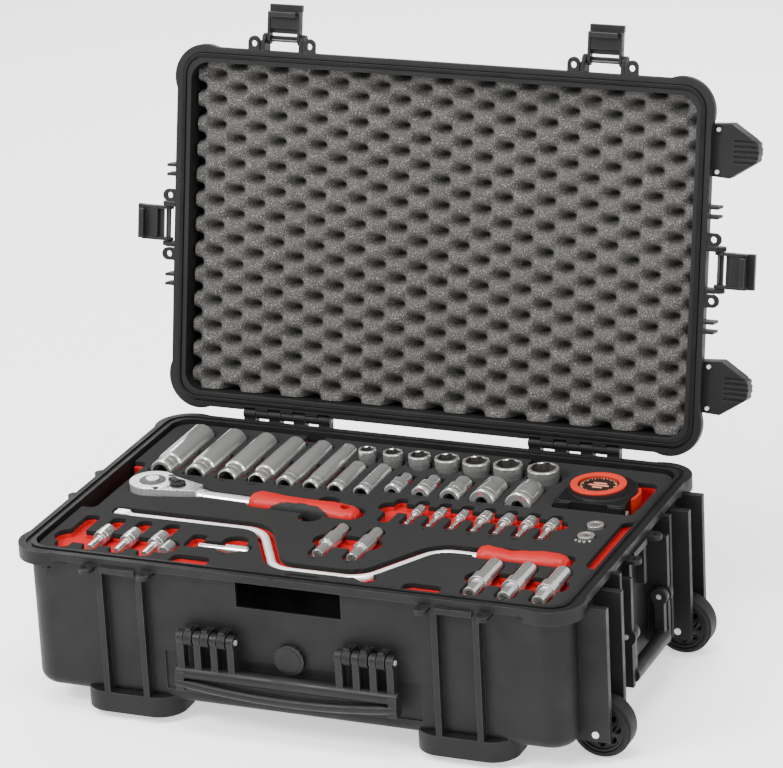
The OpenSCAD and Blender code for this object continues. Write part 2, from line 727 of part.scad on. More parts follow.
module ratchet_body() color("#c9cbcc") at_ratchet() difference() {
    union() {
        translate([0, 0, -head_h / 2]) cylinder(r = head_r, h = head_h);
        translate([0, 0, -head_h / 2 + 2]) linear_extrude(head_h - 4)
            polygon([[4, -26.5], [60, -10], [60, 10], [4, 26.5]]);
        translate([58, 0, 0]) rotate([0, 90, 0]) cylinder(r = 9, h = 10);
        translate([58, 0, 0]) rotate([0, 90, 0]) cylinder(r = 7.5, h = 119);
    }
    // room for the gear, the drive, the button and the lever
    translate([0, 0, -8]) cylinder(r = 18, h = 15);
    translate([0, 0, -20]) cylinder(r = 11 + fit, h = 20);
    translate([0, 0, 6]) cylinder(r = 8.2, h = 20);
    translate([0, 0, head_h / 2 - 1.6]) cylinder(r = 15.1, h = 4);
    translate([33, 0, 2]) cylinder(r = 9, h = 20);
    for (s = [-1, 1]) translate([14, s * 19.5, head_h / 2 - 8]) cylinder(r = 2, h = 20);
    for (s = [-1, 1]) translate([14, s * 19.5, head_h / 2 - 1.5]) cylinder(r = 3.4, h = 20);
}

module ratchet_plate() color("#5b5c5e") at_ratchet() translate([0, 0, head_h / 2 - 1.6]) difference() {
    cylinder(r = 15, h = 2.2);
    translate([0, 0, -1]) cylinder(r = 8.1, h = 5);
}

module ratchet_screws() color("#4a4a4c") at_ratchet()
    for (s = [-1, 1]) translate([14, s * 19.5, head_h / 2 - 7]) difference() {
        union() { cylinder(r = 1.9, h = 6); translate([0, 0, 5.5]) cylinder(r = 3.3, h = 1.2); }
        translate([0, 0, 5.6]) cylinder(r = 1.6, h = 4, $fn = 6);
    }

module ratchet_drive() color("#bfc1c3") at_ratchet() difference() {
    union() {
        translate([0, 0, -7.5]) cylinder(r = 17.6, h = 14);
        translate([0, 0, -16]) cylinder(r = 11, h = 10);
        translate([0, 0, -29]) block(12.7, 12.7, 14);
    }
    translate([0, 0, -20]) cylinder(r = 5.1, h = 40);
}

module ratchet_reverser() color("#2a2a2b") at_ratchet() translate([33, 0, 2.5]) {
    cylinder(r = 8.7, h = 12);
    rotate([0, 0, 150]) translate([0, -4, 10.6]) cube([15, 8, 3.4]);
}

module ratchet_button() color("#cfd1d2") at_ratchet() {
    translate([0, 0, 10]) cylinder(r = 8, h = 5.6);
    translate([0, 0, -9]) cylinder(r = 5, h = 20);
}

module ratchet_grip() color("#c8201f") at_ratchet() difference() {
    translate([grip_x0, 0, 0]) rotate([0, 90, 0]) grip_solid(grip_r, ratchet_l - grip_x0);
    translate([grip_x0 - 1, 0, 0]) rotate([0, 90, 0]) cylinder(r = 7.5, h = 51);
    translate([ratchet_l - 17, 0, -30]) cylinder(r = 5.5, h = 60);
}

// ---------- speed brace ----------

module brace_bar() color("#d4d6d8") translate([0, 0, brace_z]) {
    route(brace_pts, brace_bend, brace_r, 0);
    translate([brace_pts[0][0] - 9, brace_y, -6.35]) block(18, 12.7, 12.7);
}

module brace_grip() color("#c8201f") translate([brace_grip_x0, brace_y, brace_z]) difference() {
    rotate([0, 90, 0]) grip_solid(brace_grip_r, brace_grip_l);
    translate([-1, 0, 0]) rotate([0, 90, 0]) cylinder(r = brace_r + fit, h = 89);
}

// ---------- tape measure ----------

module tape_case() color("#232323") translate(tape_at) difference() {
    union() {
        translate([0, 2, 0]) cylinder(r = tape_r, h = tape_h - 2);
        translate([-2, -20, 2]) slab(80, 44, tape_h - 6, 8);
        for (x = [-34, 30]) translate([x, -40, 3]) slab(20, 12, tape_h - 8, 4);
    }
    translate([-8, 8, tape_h - 4]) cylinder(r = 32.2, h = 10);
    // mouth of the blade and the slot of the lock
    span([12, -39, 8], [50, -36, tape_h - 10]);
    translate([0, 2, tape_h / 2]) difference() {
        translate([0, 0, -12.4]) cylinder(r = 60, h = 24.8);
        translate([0, 0, -20]) cylinder(r = tape_r - 4, h = 40);
        span([-70, -70, -20], [70, -26, 20]);
        span([-70, 30, -20], [70, 70, 20]);
        span([-70, -70, -20], [0, 70, 20]);
    }
}

module tape_ring() color("#d23a28") translate(tape_at + [-8, 8, tape_h - 4]) difference() {
    cylinder(r = 32, h = 4);
    translate([0, 0, -1]) cylinder(r = 23.5, h = 8);
}

module tape_lock() color("#cf2b22") translate(tape_at + [0, 2, tape_h / 2]) rotate([0, 0, -24])
    rotate_extrude(angle = 52) translate([tape_r - 3, -12]) square([6.5, 24]);

module tape_hook() color("#c9cbcd") translate(tape_at) {
    span([20, -38.2, 9], [42.5, -37, tape_h - 11]);
    span([41.5, -44, 9], [42.7, -36.6, tape_h - 11]);
}

// ---------- sockets ----------

// Socket along +Z: drive end of radius drive_r and length drive_l, then the wrenching end of radius r
module socket(r, drive_r, l, drive_l, drive) {
    hex_r = r - 2.4;
    difference() {
        union() {
            cylinder(r = drive_r, h = drive_l + 0.5);
            translate([0, 0, drive_l]) cylinder(r = r, h = l - drive_l - 1);
            translate([0, 0, l - 2]) cylinder(r = r - 1, h = 2);
        }
        translate([0, 0, l * 0.45]) cylinder(r = hex_r, h = l, $fn = 6);
        translate([0, 0, l - 1.2]) cylinder(r = hex_r + 0.5, h = 3);
        translate([0, 0, -1]) block(drive, drive, 13);
        translate([0, 0, 2]) cylinder(r = min(drive, hex_r * 1.6) / 2, h = l * 0.5);
    }
}

// Socket lying along Y with its drive end at the front
module lying_socket(x, y, r, drive_r, l, drive_l, drive) {
    translate([x, y, lying_z]) rotate([-90, 0, 0]) socket(r, drive_r, l, drive_l, drive);
}

module deep_socket(i) color("#c9cbcc")
    lying_socket(deep_x[i], deep_y, deep_r[i], deep_r[i] - (i < 4 ? 1.8 : 0.6), deep_l, 25,
                 i < 4 ? 12.7 : 9.6);

module medium_sockets() color("#c9cbcc")
    for (i = [0, 1]) lying_socket(col_x[i], deep_y, med_r, med_r, med_l, 20, 9.6);

module short_sockets() color("#c9cbcc") for (i = [0:4])
    lying_socket(col_x[i + 2], short_y, short_neck[i], short_r[i], short_l, 28, i < 2 ? 6.4 : 9.6);

module upright_sockets() color("#c9cbcc") for (i = [0:6])
    translate([col_x[i], up_y, tray_top + up_rise - up_l])
        socket(up_r[i], up_r[i] - 1, up_l, 12, i < 1 ? 9.6 : 12.7);

// Bit socket along Y: sleeve at the back, hexagon bit towards the front
module bit_socket(x, y, z, r, sleeve_l, bit_r, bit_l) {
    translate([x, y, z]) {
        rotate([-90, 0, 0]) difference() {
            union() {
                cylinder(r = r, h = sleeve_l);
                translate([0, 0, sleeve_l * 0.25]) cylinder(r = r + 0.5, h = sleeve_l * 0.4);
            }
            translate([0, 0, sleeve_l - 8]) block(6.4, 6.4, 12);
        }
        translate([0, 1, 0]) rotate([90, 0, 0]) cylinder(r = bit_r, h = bit_l + 1, $fn = 6);
    }
}

module left_bit_sockets() color("#cfd1d2") {
    for (i = [1:3]) bit_socket(left_rack_x[i], left_rack_y - 12, tray_top - rack_deep + 8.5 + rest_gap,
                               8, 26, 4, 24);
    translate([left_rack_x[3] + 17, left_rack_y - 14, tray_top - rack_deep + 7 + rest_gap]) rod_y(7, 20);
}

module right_bit_sockets() color("#cfd1d2") for (i = [1:7])
    bit_socket(right_rack_x[i], right_rack_y - 2, tray_top - rack_deep + 7.3 + rest_gap,
               i < 4 ? 5 : 6.8, 22, i < 4 ? 2.6 : 3.2, 26);

module plug_sockets() color("#cfd1d2") for (x = plug_x)
    translate([x, plug_y + 40, tray_top - plug_deep + 9 + rest_gap]) rotate([90, 0, 0]) difference() {
        union() {
            cylinder(r = 7, h = 26);
            translate([0, 0, 25]) cylinder(r = 9, h = 26);
            translate([0, 0, 50]) cylinder(r = 6.5, h = 26);
        }
        translate([0, 0, -1]) block(6.4, 6.4, 12);
        translate([0, 0, 62]) cylinder(r = 4.6, h = 20, $fn = 6);
    }

module bit_holders() color("#cfd1d2") for (x = holder_x)
    translate([x, holder_y + 40, tray_top - holder_deep + 11 + rest_gap]) rotate([90, 0, 0]) difference() {
        union() {
            cylinder(r = 9, h = 42);
            translate([0, 0, 40]) cylinder(r = 11, h = 16);
            translate([0, 0, 55]) cylinder(r = 7.5, h = 25);
        }
        translate([0, 0, -1]) block(9.6, 9.6, 12);
        translate([0, 0, 64]) cylinder(r = 4.6, h = 20, $fn = 6);
    }

module bit_adapter() color("#cfd1d2") translate([-106, adapter_y, tray_top - rack_deep + 6.2 + rest_gap]) {
    rod_x(4, 60);
    translate([16, 0, 0]) rod_x(6.2, 26);
    translate([-24, 0, -3.2]) block(12, 6.4, 6.4);
}

module reducers() color("#cfd1d2") {
    for (y = ring_y) translate([ring_x, y, tray_top - 9.6]) difference() {
        cylinder(r = 9.6, h = 13);
        translate([0, 0, -1]) cylinder(r = 5.5, h = 16, $fn = 6);
    }
    for (k = [0:3]) translate([ring_x - 8 + k * 5.4, -19 + 3 * abs(k - 1.5), tray_top - 9.6])
        cylinder(r = 1.7, h = 11);
}

// ---------- one line for each node ----------

// Heights counted from the ground become heights over the underside
module from_ground() { translate([0, 0, -under]) children(); }

from_ground() base_shell();
from_ground() spacer_foam();
from_ground() foot_pads();
from_ground() wheel_axles();
from_ground() handle_pins();
from_ground() label_panel();
from_ground() front_handle();
from_ground() side_handle();
from_ground() pull_grip();
from_ground() pull_tubes();
from_ground() wheel_hub(-1);  // wheel_hub_1
from_ground() wheel_hub(1);  // wheel_hub_2
from_ground() wheel_tyre(-1);  // wheel_tyre_1
from_ground() wheel_tyre(1);  // wheel_tyre_2
from_ground() valve_knob();
from_ground() lid_shell();
from_ground() lid_gasket();
from_ground() lid_foam();
from_ground() lid_bumpers();
from_ground() lid_screws();
from_ground() hinge_pins();
from_ground() latch_lever(0);  // latch_lever_1
from_ground() latch_lever(1);  // latch_lever_2
from_ground() latch_lever(2);  // latch_lever_3
from_ground() latch_lever(3);  // latch_lever_4
from_ground() latch_hook(0);  // latch_hook_1
from_ground() latch_hook(1);  // latch_hook_2
from_ground() latch_hook(2);  // latch_hook_3
from_ground() latch_hook(3);  // latch_hook_4
from_ground() latch_pins();
from_ground() foam_tray();
from_ground() tray_backing();
from_ground() ratchet_body();
from_ground() ratchet_plate();
from_ground() ratchet_screws();
from_ground() ratchet_drive();
from_ground() ratchet_reverser();
from_ground() ratchet_button();
from_ground() ratchet_grip();
from_ground() brace_bar();
from_ground() brace_grip();
from_ground() tape_case();
from_ground() tape_ring();
from_ground() tape_lock();
from_ground() tape_hook();
from_ground() deep_socket(0);  // deep_socket_1
from_ground() deep_socket(1);  // deep_socket_2
from_ground() deep_socket(2);  // deep_socket_3
from_ground() deep_socket(3);  // deep_socket_4
from_ground() deep_socket(4);  // deep_socket_5
from_ground() deep_socket(5);  // deep_socket_6
from_ground() medium_sockets();
from_ground() short_sockets();
from_ground() upright_sockets();
from_ground() left_bit_sockets();
from_ground() right_bit_sockets();
from_ground() plug_sockets();
from_ground() bit_holders();
from_ground() bit_adapter();
from_ground() reducers();
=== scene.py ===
"""Socket wrench set in a wheeled hard box with an open lid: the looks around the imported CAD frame."""
import json
import math
import random

import bmesh
import bpy
from mathutils import Matrix, Vector

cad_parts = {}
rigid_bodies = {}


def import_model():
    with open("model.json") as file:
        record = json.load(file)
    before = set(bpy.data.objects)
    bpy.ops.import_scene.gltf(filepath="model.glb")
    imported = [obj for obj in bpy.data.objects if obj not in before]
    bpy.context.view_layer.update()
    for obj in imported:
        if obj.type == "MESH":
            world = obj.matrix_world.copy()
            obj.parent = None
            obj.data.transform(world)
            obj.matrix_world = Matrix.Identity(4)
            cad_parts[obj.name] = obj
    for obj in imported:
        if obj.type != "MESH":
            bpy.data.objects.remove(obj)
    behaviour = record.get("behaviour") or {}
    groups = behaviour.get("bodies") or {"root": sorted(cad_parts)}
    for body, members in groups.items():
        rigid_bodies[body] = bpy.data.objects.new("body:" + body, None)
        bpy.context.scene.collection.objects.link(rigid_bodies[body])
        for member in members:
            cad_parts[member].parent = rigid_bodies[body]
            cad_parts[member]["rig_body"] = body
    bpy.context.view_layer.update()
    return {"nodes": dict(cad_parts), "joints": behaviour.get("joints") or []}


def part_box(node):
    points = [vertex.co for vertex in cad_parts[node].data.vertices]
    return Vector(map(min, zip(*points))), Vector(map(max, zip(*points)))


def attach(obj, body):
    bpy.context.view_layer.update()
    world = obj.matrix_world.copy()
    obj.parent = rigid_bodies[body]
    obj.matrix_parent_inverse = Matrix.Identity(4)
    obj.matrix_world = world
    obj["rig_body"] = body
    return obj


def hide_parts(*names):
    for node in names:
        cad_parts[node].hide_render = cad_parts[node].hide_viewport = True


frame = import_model()
nodes = frame["nodes"]
joints = {j["name"]: j for j in frame["joints"]}

MM = 0.001
TAU = 2 * math.pi
GROUND_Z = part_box("foot_pads")[0].z
HINGE = Vector(joints["lid_hinge"]["pos_m"])
LID_OPEN = math.radians(-joints["lid_hinge"]["range_deg"][0])
# From the closed lid's place to the open one
LID = Matrix.Translation(HINGE) @ Matrix.Rotation(-LID_OPEN, 4, "X") @ Matrix.Translation(-HINGE)
UPRIGHT = Matrix.Identity(4)
# A part made along +Z is laid along +Y
ALONG_Y = Matrix.Rotation(math.radians(-90), 4, "X")


# ---------- camera, light and floor ----------

CAMERA_PLACE = (1.7075, -3.8763, 1.9259)
CAMERA_AZIMUTH = 0.4112
CAMERA_ELEVATION = 0.3656
CAMERA_ROLL = -0.0543
CAMERA_LENS_MM = 187.83
CAMERA_SHIFT = (0.0323, 0.0117)
CAMERA_CLIP = 60


def add_camera():
    """Long lens from the front right and above, rolled a little, as the reference view."""
    azimuth, elevation, roll = CAMERA_AZIMUTH, CAMERA_ELEVATION, CAMERA_ROLL
    forward = Vector((-math.sin(azimuth) * math.cos(elevation),
                      math.cos(azimuth) * math.cos(elevation), -math.sin(elevation)))
    right = Vector((math.cos(azimuth), math.sin(azimuth), 0))
    up = right.cross(forward)
    across = math.cos(roll) * right + math.sin(roll) * up
    above = math.cos(roll) * up - math.sin(roll) * right
    camera = bpy.data.objects.new("camera", bpy.data.cameras.new("camera"))
    bpy.context.scene.collection.objects.link(camera)
    turn = Matrix((across, above, -forward)).transposed().to_4x4()
    camera.matrix_world = Matrix.Translation(CAMERA_PLACE) @ turn
    camera.data.lens = CAMERA_LENS_MM
    camera.data.shift_x, camera.data.shift_y = CAMERA_SHIFT
    camera.data.clip_end = CAMERA_CLIP
    bpy.context.scene.camera = camera


def add_light(name, place, target, size, power):
    lamp = bpy.data.lights.new(name, "AREA")
    lamp.shape = "RECTANGLE"
    lamp.size, lamp.size_y = size
    lamp.energy = power
    light = bpy.data.objects.new(name, lamp)
    bpy.context.scene.collection.objects.link(light)
    light.location = place
    light.rotation_euler = (Vector(target) - Vector(place)).to_track_quat("-Z", "Y").to_euler()


WORLD_STRENGTH = 1.2
FLOOR_SIZE = 40
FLOOR_GLOW = 0.9
BOX_MIDDLE = (0, 0, 0.15)
LID_MIDDLE = (0, 0.2, 0.3)


def add_studio():
    """Even white surroundings, four soft lights and a pale floor."""
    world = bpy.data.worlds.new("studio")
    world.use_nodes = True
    background = world.node_tree.nodes["Background"]
    background.inputs["Color"].default_value = (1, 1, 1, 1)
    background.inputs["Strength"].default_value = WORLD_STRENGTH
    bpy.context.scene.world = world
    add_light("key", (-1.6, -2.2, 2.6), BOX_MIDDLE, (1.3, 1.0), 150)
    add_light("fill", (2.6, -1.6, 1.4), BOX_MIDDLE, (1.2, 1.2), 26)
    add_light("top", (0.2, -0.6, 3.0), BOX_MIDDLE, (1.8, 0.9), 90)
    add_light("rim", (-0.6, 2.6, 2.0), LID_MIDDLE, (2.0, 0.8), 60)
    bpy.ops.mesh.primitive_plane_add(size=FLOOR_SIZE, location=(0, 0, GROUND_Z))
    floor = bpy.context.object
    floor.name = "floor"
    paper = Look("floor_paper", (0.95, 0.95, 0.95), 0.8,
                 Emission_Color=(1, 1, 1, 1), Emission_Strength=FLOOR_GLOW)
    floor.data.materials.append(paper.material)


# ---------- materials ----------

class Look:
    """A procedural material: constants on the shader's sockets, then colour, gloss and relief by masks."""

    def __init__(self, name, color, rough, metal=0.0, **sockets):
        self.material = bpy.data.materials.new(name)
        self.material.use_nodes = True
        self.tree = self.material.node_tree
        self.shader = self.tree.nodes["Principled BSDF"]
        self.color = (*color, 1)
        self.normal = None
        self.shader.inputs["Base Color"].default_value = self.color
        self.shader.inputs["Roughness"].default_value = rough
        self.shader.inputs["Metallic"].default_value = metal
        for socket, value in sockets.items():
            self.shader.inputs[socket.replace("_", " ")].default_value = value
        self.place = self.node("ShaderNodeTexCoord").outputs["Object"]

    def node(self, kind, inputs=None, **settings):
        """A new node with its settings, and its inputs linked or given as constants."""
        made = self.tree.nodes.new(kind)
        for key, value in settings.items():
            setattr(made, key, value)
        for key, value in (inputs or {}).items():
            if isinstance(value, bpy.types.NodeSocket):
                self.tree.links.new(value, made.inputs[key])
            else:
                made.inputs[key].default_value = value
        return made

    def stretched(self, stretch):
        """Object space, squeezed or stretched."""
        if stretch is None:
            return self.place
        return self.node("ShaderNodeMapping", {"Vector": self.place, "Scale": stretch}).outputs["Vector"]

    def noise(self, scale, detail=2.0, rough=0.5, stretch=None):
        """Noise of about scale waves a metre, from 0 to 1."""
        return self.node("ShaderNodeTexNoise", {"Vector": self.stretched(stretch), "Scale": scale,
                                                "Detail": detail, "Roughness": rough}).outputs["Fac"]

    def cells(self, scale):
        """Distance to the middle of random cells."""
        return self.node("ShaderNodeTexVoronoi", {"Vector": self.place, "Scale": scale}).outputs["Distance"]

    def ramp(self, mask, low, high, start=0.0, end=1.0):
        """Mask from low to high, turned into start to end."""
        inputs = {"Value": mask, "From Min": low, "From Max": high, "To Min": start, "To Max": end}
        return self.node("ShaderNodeMapRange", inputs).outputs["Result"]

    def shade(self, mask, color, low=0.35, high=0.65, amount=1.0):
        """Mixes a colour in where the mask rises from low to high."""
        share = self.ramp(mask, low, high, 0.0, amount)
        mix = self.node("ShaderNodeMix", {"Factor": share}, data_type="RGBA")
        if isinstance(self.color, tuple):
            mix.inputs[6].default_value = self.color
        else:
            self.tree.links.new(self.color, mix.inputs[6])
        mix.inputs[7].default_value = (*color, 1)
        self.color = mix.outputs[2]
        self.tree.links.new(self.color, self.shader.inputs["Base Color"])
        return self

    def gloss(self, mask, rough_low, rough_high, low=0.3, high=0.7):
        """Roughness follows a mask."""
        rough = self.ramp(mask, low, high, rough_low, rough_high)
        self.tree.links.new(rough, self.shader.inputs["Roughness"])
        return self

    def relief(self, mask, depth):
        """Bump of that depth in metres."""
        inputs = {"Height": mask, "Distance": depth, "Strength": 1.0}
        if self.normal is not None:
            inputs["Normal"] = self.normal
        self.normal = self.node("ShaderNodeBump", inputs).outputs["Normal"]
        self.tree.links.new(self.normal, self.shader.inputs["Normal"])
        return self

    def edges(self, color, radius=1.2 * MM, amount=0.6):
        """Lighter colour along sharp edges: painted highlight where the edges catch the light, and polish
        where handling has rubbed them.
        """
        rounded = self.node("ShaderNodeBevel", {"Radius": radius}, samples=4).outputs["Normal"]
        flat = self.node("ShaderNodeNewGeometry").outputs["Normal"]
        dot = self.node("ShaderNodeVectorMath", {0: rounded, 1: flat}, operation="DOT_PRODUCT")
        bent = self.ramp(dot.outputs["Value"], 0.995, 0.86)
        grit = self.ramp(self.noise(260, 3), 0.3, 0.6)
        worn_and_lit = self.node("ShaderNodeMath", {0: bent, 1: grit}, operation="MULTIPLY").outputs["Value"]
        return self.shade(worn_and_lit, color, 0.0, 1.0, amount)


def plastic(name, color, rough, grain=0.00006, edge_wear_and_highlight=0.5, shine=0.16):
    """Moulded dark plastic: fine spark-eroded grain, faint smears, and edges lightened by rubbing and by a
    painted highlight.
    """
    look = Look(name, color, rough, Specular_IOR_Level=shine)
    lighter = [c * 1.9 + 0.006 for c in color]
    darker = [c * 0.62 for c in color]
    look.shade(look.noise(7, 4, 0.6), lighter, 0.42, 0.78, 0.45)
    look.shade(look.noise(22, 3, 0.6, (1, 1, 0.25)), darker, 0.5, 0.8, 0.5)
    look.shade(look.noise(900, 2), lighter, 0.5, 0.75, 0.35)
    look.gloss(look.noise(30, 4, 0.6), rough - 0.08, rough + 0.1)
    look.relief(look.noise(1400, 3, 0.6), grain)
    look.relief(look.noise(60, 2), grain * 1.5)
    # lighter edges: painted highlight along them, partly rubbed by handling
    if edge_wear_and_highlight:
        look.edges([c * 5 + 0.045 for c in color], amount=edge_wear_and_highlight)
    return look


def rubber(name, color, rough):
    """Dull rubber with faint dusty patches."""
    look = Look(name, color, rough, Specular_IOR_Level=0.15)
    look.shade(look.noise(40, 4, 0.7), [c * 2.2 + 0.004 for c in color], 0.4, 0.8, 0.6)
    look.relief(look.noise(900, 2), 0.00005)
    look.gloss(look.noise(60, 3), rough - 0.08, rough + 0.08)
    return look


def steel(name, color, rough, streak=None, metal=0.75):
    """Plated or bright steel with faint scratches, finer along the streak direction."""
    look = Look(name, color, rough, metal=metal)
    look.shade(look.noise(45, 3, 0.5, streak), [c * 0.8 for c in color], 0.45, 0.75, 0.35)
    look.gloss(look.noise(300, 2, 0.5, streak), rough * 0.8, rough * 1.3)
    look.relief(look.noise(500, 2, 0.5, streak), 0.0000015)
    return look


FOAM_ROUGH = 0.95


def foam(name, color, cell, fleck, fleck_amount, depth):
    """Cut foam: pores of the cell size in metres with painted shade in their hollows, flecks of light and a
    soft sheen.
    """
    look = Look(name, color, FOAM_ROUGH, Specular_IOR_Level=0.06, Sheen_Weight=0.04, Sheen_Roughness=0.5)
    look.shade(look.noise(9, 4, 0.6), [c * 1.3 for c in color], 0.4, 0.75, 0.5)
    # painted shade: darker in the pore hollows, where the bump below sinks
    look.shade(look.cells(0.9 / cell), [c * 0.45 for c in color], 0.55, 0.15, 0.55)
    look.shade(look.noise(1.1 / cell, 2, 0.7), fleck, 0.55, 0.72, fleck_amount)
    look.relief(look.cells(0.9 / cell), depth)
    look.relief(look.noise(2.2 / cell, 2, 0.6), depth * 0.4)
    return look


def make_looks():
    """All finishes by a short name; colours are linear."""
    looks = {
        # the fifth number of a plastic is how strongly its edges are lightened by painted highlight and
        # rubbing
        "shell": plastic("shell_plastic", (0.006, 0.0061, 0.0062), 0.52, 0.00007, 0.6),
        "handle": plastic("handle_plastic", (0.0078, 0.0079, 0.0081), 0.42, 0.00004, 0.6),
        "latch": plastic("latch_plastic", (0.008, 0.0081, 0.0083), 0.4, 0.00004, 0.6),
        "black": plastic("black_plastic", (0.005, 0.0051, 0.0052), 0.4, 0.00004, 0.4),
        "label": plastic("label_black", (0.0004, 0.0004, 0.0004), 0.9, 0.00001, 0, 0.0),
        "mark": rubber("mark_black", (0.0035, 0.0035, 0.0035), 0.9),
        "tyre": rubber("wheel_rubber", (0.006, 0.006, 0.0062), 0.6),
        "pad": rubber("pad_rubber", (0.005, 0.005, 0.005), 0.75),
        "seal": rubber("seal_rubber", (0.002, 0.002, 0.0021), 0.45),
        "grip_black": rubber("grip_black", (0.012, 0.0125, 0.0125), 0.65),
        "chrome": steel("socket_chrome", (0.66, 0.66, 0.645), 0.17, (1, 0.06, 1), metal=0.85),
        "upright": steel("socket_chrome_upright", (0.6, 0.6, 0.585), 0.2, metal=0.85),
        # dark steel for the socket bores: painted shade inside them
        "bore": steel("socket_bore", (0.055, 0.05, 0.045), 0.5, metal=0.5),
        "ratchet": steel("polished_steel", (0.72, 0.72, 0.71), 0.22, metal=0.75),
        "bar": steel("bar_chrome", (0.92, 0.92, 0.91), 0.25, (0.1, 1, 1), metal=0.5),
        "dark": steel("dark_steel", (0.045, 0.045, 0.046), 0.36),
        "pin": steel("pin_steel", (0.6, 0.6, 0.59), 0.3, metal=0.6),
        "blade": steel("blade_steel", (0.6, 0.6, 0.57), 0.35),
        "tray": foam("grey_foam", (0.0125, 0.013, 0.0125), 0.5 * MM, (0.05, 0.052, 0.05), 0.4, 0.00012),
        "red": foam("red_foam", (0.42, 0.006, 0.008), 0.5 * MM, (0.6, 0.03, 0.028), 0.3, 0.0001),
        "egg": foam("egg_foam", (0.05, 0.0485, 0.047), 1.3 * MM, (0.42, 0.4, 0.37), 0.8, 0.0006),
        "dial": plastic("dial_black", (0.012, 0.008, 0.007), 0.5, 0.00001, 0),
        "tick": plastic("tick_copper", (0.55, 0.22, 0.12), 0.5, 0.00001, 0),
    }
    for name, color in (("grip_red", (0.4, 0.008, 0.008)), ("ring_red", (0.5, 0.03, 0.015))):
        look = Look(name, color, 0.42, Specular_IOR_Level=0.2)
        look.shade(look.noise(30, 4), [c * 0.8 for c in color], 0.4, 0.8, 0.5)
        look.relief(look.noise(900, 2), 0.00004)
        looks[name] = look
    return looks


# ---------- meshes ----------

WELD_GAP = 0.02 * MM


def weld(bm):
    bmesh.ops.remove_doubles(bm, verts=bm.verts, dist=WELD_GAP)


def shade(mesh, angle):
    """Smooth shading with creases where faces meet at more than the angle in degrees."""
    mesh.shade_smooth()
    mesh.set_sharp_from_angle(angle=math.radians(angle))


def add_piece(name, mesh, looks_used, body, angle=32):
    """A new piece that rides on a body."""
    piece = bpy.data.objects.new(name, mesh)
    bpy.context.scene.collection.objects.link(piece)
    for look in looks_used:
        mesh.materials.append(look.material)
    shade(mesh, angle)
    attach(piece, body)
    return piece


def mesh_of(name, points, faces, matrix=None):
    mesh = bpy.data.meshes.new(name)
    mesh.from_pydata([Vector(p) for p in points], [], faces)
    if matrix is not None:
        mesh.transform(matrix)
    mesh.update()
    return mesh


def applied(piece):
    """Puts the modifiers' result into the mesh."""
    bpy.context.view_layer.update()
    graph = bpy.context.evaluated_depsgraph_get()
    mesh = bpy.data.meshes.new_from_object(piece.evaluated_get(graph), depsgraph=graph)
    old = piece.data
    piece.modifiers.clear()
    piece.data = mesh
    bpy.data.meshes.remove(old)


def body_of(node):
    return nodes[node]["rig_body"]


def area_of(mesh):
    return sum(face.area for face in mesh.polygons)


def spread(mesh):
    """Corners of the box around a mesh."""
    points = [vert.co for vert in mesh.vertices]
    return Vector(map(min, *points)), Vector(map(max, *points))


# A rounded mesh may stand this far past the CAD piece's box, and its area may change within these shares
BOX_SLACK = 0.1 * MM
AREA_SHARES = (0.8, 1.015)


def stays_true(mesh, area, low, high):
    """Whether a rounded mesh kept the CAD piece's area and box."""
    here_low, here_high = spread(mesh)
    past = max(*(low - here_low), *(here_high - high))
    share = area_of(mesh) / area
    return past < BOX_SLACK and AREA_SHARES[0] < share < AREA_SHARES[1]


EDGE_SEGMENTS = 2
# A narrower edge is taken where the full one would fold over a small detail
EDGE_SHARES = (1, 0.6, 0.35, 0.2, 0.1)
FLATNESS_WEIGHT = 90


def soften(node, look, width, angle=38):
    """A copy of a CAD node with rounded edges, which stands for the node."""
    bm = bmesh.new()
    bm.from_mesh(nodes[node].data)
    weld(bm)
    mesh = bpy.data.meshes.new(node + "_rounded")
    bm.to_mesh(mesh)
    bm.free()
    for layer in [a for a in mesh.attributes if a.name in ("custom_normal", "sharp_face")]:
        mesh.attributes.remove(layer)
    piece = bpy.data.objects.new(node + "_rounded", mesh)
    bpy.context.scene.collection.objects.link(piece)
    mesh.materials.clear()
    mesh.materials.append(look.material)
    mesh.shade_smooth()
    area, (low, high) = area_of(mesh), spread(mesh)
    for share in EDGE_SHARES:
        trial = mesh.copy()
        piece.data = trial
        bevel = piece.modifiers.new("round", "BEVEL")
        bevel.width = width * share
        bevel.segments = EDGE_SEGMENTS
        bevel.limit_method = "ANGLE"
        bevel.angle_limit = math.radians(angle)
        bevel.use_clamp_overlap = False
        bevel.loop_slide = False
        even = piece.modifiers.new("even", "WEIGHTED_NORMAL")
        even.weight = FLATNESS_WEIGHT
        even.keep_sharp = False
        applied(piece)
        if stays_true(piece.data, area, low, high):
            break
    bpy.data.meshes.remove(mesh)
    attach(piece, body_of(node))
    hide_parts(node)
    return piece


def paint(node, look):
    """Keeps a CAD node's shape and gives it a finish."""
    materials = nodes[node].data.materials
    materials.clear()
    materials.append(look.material)


def islands(node):
    """Boxes (low, high) of the separate solids in a node, from left to right."""
    bm = bmesh.new()
    bm.from_mesh(nodes[node].data)
    weld(bm)
    seen, boxes = set(), []
    for start in bm.verts:
        if start in seen:
            continue
        group, todo = [], [start]
        seen.add(start)
        while todo:
            vert = todo.pop()
            group.append(vert.co)
            for edge in vert.link_edges:
                other = edge.other_vert(vert)
                if other not in seen:
                    seen.add(other)
                    todo.append(other)
        boxes.append((Vector(map(min, *group)), Vector(map(max, *group))))
    bm.free()
    return sorted(boxes, key=lambda b: b[0].x)


ROUND_N = 96
KNURL_DEEP = 0.35 * MM


def spoke(shape, radius, k, row):
    """Distance from the axis of the outline point k of ROUND_N."""
    angle = TAU * k / ROUND_N
    if shape == "hex":
        return radius / math.cos((angle + TAU / 12) % (TAU / 6) - TAU / 12)
    if shape == "square":
        return radius / math.cos(angle % (TAU / 4) - TAU / 8)
    if shape == "knurl":
        return radius - (KNURL_DEEP if (k + row) % 2 else 0)
    return radius


